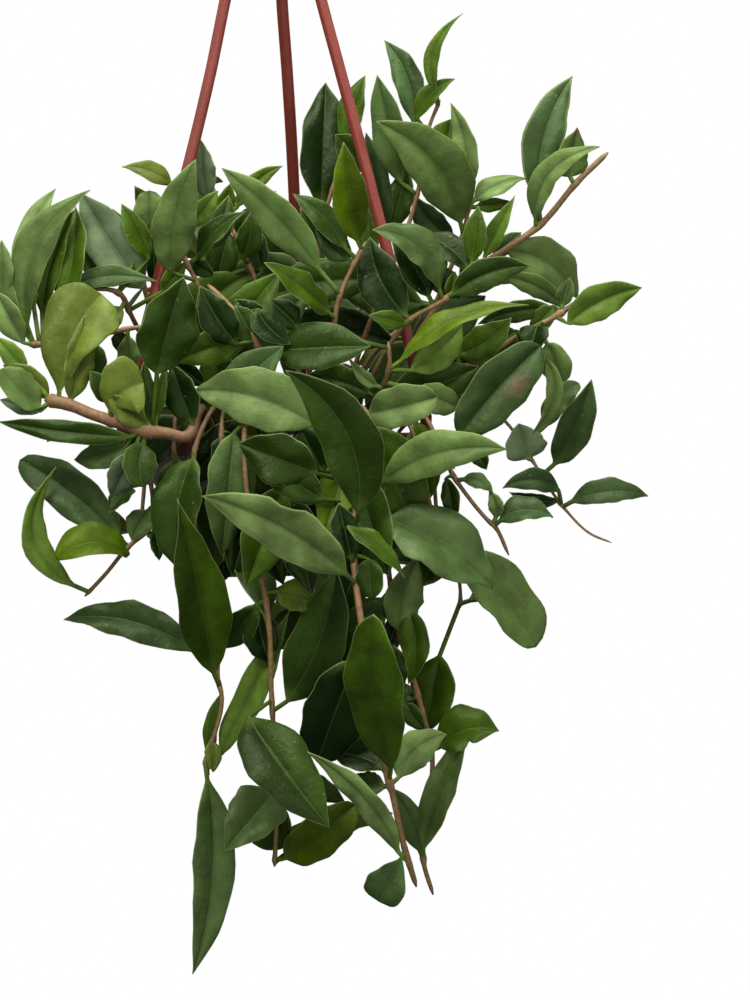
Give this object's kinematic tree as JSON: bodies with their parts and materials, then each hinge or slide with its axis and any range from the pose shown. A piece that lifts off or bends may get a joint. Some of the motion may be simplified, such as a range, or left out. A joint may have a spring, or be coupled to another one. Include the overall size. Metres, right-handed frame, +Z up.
{
  "type": "hanging potted lipstick plant",
  "caption": "Trailing lipstick plant with glossy pointed leaves in a shallow plastic bowl, hung by three arms from a hub with an open hook.",
  "frame": {"origin": "underside of the hook's arch, where the hook bears on what it hangs from", "axes": "+Z up along the hanging line, -Y towards the front of the plant, +X to the viewer's right"},
  "size_m": [0.2651, 0.2878, 0.5136],
  "materials": {
    "pot_plastic": "moulded polypropylene, matt terracotta brown",
    "hanger_plastic": "moulded polypropylene, matt terracotta brown",
    "potting_soil": "dark fibrous peat",
    "plant": "fleshy waxy leaves, satin, on thin woody stems"
  },
  "bodies": {
    "root": {"hanger_arm_back": "hanger_plastic", "hanger_arm_left": "hanger_plastic", "hanger_arm_right": "hanger_plastic", "hanger_hook": "hanger_plastic", "pot": "pot_plastic", "soil": "potting_soil", "stem_back_10": "plant", "stem_back_12": "plant", "stem_back_2": "plant", "stem_back_3": "plant", "stem_back_4": "plant", "stem_back_5": "plant", "stem_back_6": "plant", "stem_back_7": "plant", "stem_back_8": "plant", "stem_back_9": "plant", "stem_bud_centre": "plant", "stem_centre_left": "plant", "stem_centre_twig": "plant", "stem_curtain_left": "plant", "stem_curtain_mid": "plant", "stem_curtain_mid_left": "plant", "stem_curtain_mid_right": "plant", "stem_front_centre": "plant", "stem_front_left": "plant", "stem_front_right": "plant", "stem_left_back": "plant", "stem_left_front": "plant", "stem_left_mid": "plant", "stem_left_trailing": "plant", "stem_left_upper": "plant", "stem_low_left": "plant", "stem_right": "plant", "stem_right_front": "plant", "stem_right_hanging": "plant", "stem_right_lower": "plant", "stem_right_side": "plant", "stem_right_upper": "plant", "stem_top_branch": "plant", "stem_top_centre": "plant", "stem_top_left": "plant", "stem_top_mid": "plant", "stem_top_right": "plant"}
  },
  "joints": []
}
